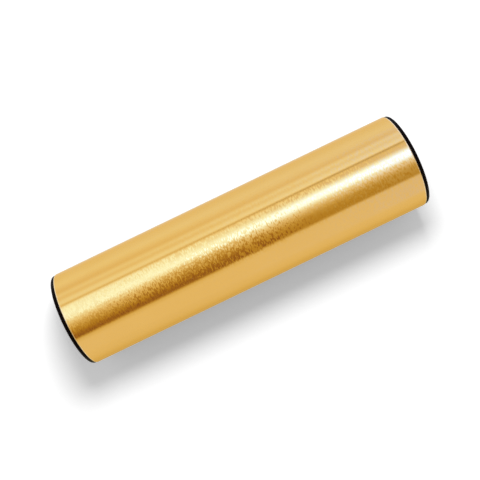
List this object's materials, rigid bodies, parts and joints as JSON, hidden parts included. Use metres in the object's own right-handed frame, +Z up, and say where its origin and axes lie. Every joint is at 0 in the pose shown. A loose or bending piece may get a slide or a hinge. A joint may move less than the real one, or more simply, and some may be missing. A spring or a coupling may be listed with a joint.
{
  "type": "ganza shaker",
  "caption": "Tubular metal shaker: a gold anodised aluminium tube closed by black moulded end caps, with loose steel shot inside that runs and swirls.",
  "frame": {"origin": "on the surface under the middle of the tube, where it rests lying down", "axes": "+X along the tube towards the right end cap, +Z up, +Y towards the back"},
  "size_m": [0.1934, 0.0508, 0.0508],
  "materials": {
    "gold_anodised_aluminium": "circumferentially brushed and gold anodised, satin",
    "black_abs": "moulded black, satin",
    "steel_shot": "smooth steel balls"
  },
  "bodies": {
    "shaker": {"tube": "gold_anodised_aluminium", "left_end_cap": "black_abs", "right_end_cap": "black_abs"},
    "top_row": {"shot_row_top": "steel_shot"},
    "bottom_row": {"shot_row_bottom": "steel_shot"},
    "front_1_row": {"shot_row_front_1": "steel_shot"},
    "front_2_row": {"shot_row_front_2": "steel_shot"},
    "front_3_row": {"shot_row_front_3": "steel_shot"},
    "back_1_row": {"shot_row_back_1": "steel_shot"},
    "back_2_row": {"shot_row_back_2": "steel_shot"},
    "back_3_row": {"shot_row_back_3": "steel_shot"},
    "nested_front_1_row": {"shot_row_nested_front_1": "steel_shot"},
    "nested_front_2_row": {"shot_row_nested_front_2": "steel_shot"},
    "nested_back_1_row": {"shot_row_nested_back_1": "steel_shot"},
    "nested_back_2_row": {"shot_row_nested_back_2": "steel_shot"}
  },
  "joints": [
    {"name": "shot_swirl", "type": "hinge", "parent": "shaker", "child": "top_row", "pos_m": [0, 0, 0.0254], "axis": [1, 0, 0], "continuous": true},
    {"name": "bottom_row_run", "type": "slide", "parent": "top_row", "child": "bottom_row", "axis": [1, 0, 0], "range_m": [-0.0288, 0.0288]},
    {"name": "front_1_row_run", "type": "slide", "parent": "top_row", "child": "front_1_row", "axis": [1, 0, 0], "range_m": [-0.0288, 0.0288]},
    {"name": "front_2_row_run", "type": "slide", "parent": "top_row", "child": "front_2_row", "axis": [1, 0, 0], "range_m": [-0.0288, 0.0288]},
    {"name": "front_3_row_run", "type": "slide", "parent": "top_row", "child": "front_3_row", "axis": [1, 0, 0], "range_m": [-0.0288, 0.0288]},
    {"name": "back_1_row_run", "type": "slide", "parent": "top_row", "child": "back_1_row", "axis": [1, 0, 0], "range_m": [-0.0288, 0.0288]},
    {"name": "back_2_row_run", "type": "slide", "parent": "top_row", "child": "back_2_row", "axis": [1, 0, 0], "range_m": [-0.0288, 0.0288]},
    {"name": "back_3_row_run", "type": "slide", "parent": "top_row", "child": "back_3_row", "axis": [1, 0, 0], "range_m": [-0.0288, 0.0288]},
    {"name": "nested_front_1_row_run", "type": "slide", "parent": "top_row", "child": "nested_front_1_row", "axis": [1, 0, 0], "range_m": [-0.0382, 0.0382]},
    {"name": "nested_front_2_row_run", "type": "slide", "parent": "top_row", "child": "nested_front_2_row", "axis": [1, 0, 0], "range_m": [-0.0382, 0.0382]},
    {"name": "nested_back_1_row_run", "type": "slide", "parent": "top_row", "child": "nested_back_1_row", "axis": [1, 0, 0], "range_m": [-0.0382, 0.0382]},
    {"name": "nested_back_2_row_run", "type": "slide", "parent": "top_row", "child": "nested_back_2_row", "axis": [1, 0, 0], "range_m": [-0.0382, 0.0382]}
  ]
}
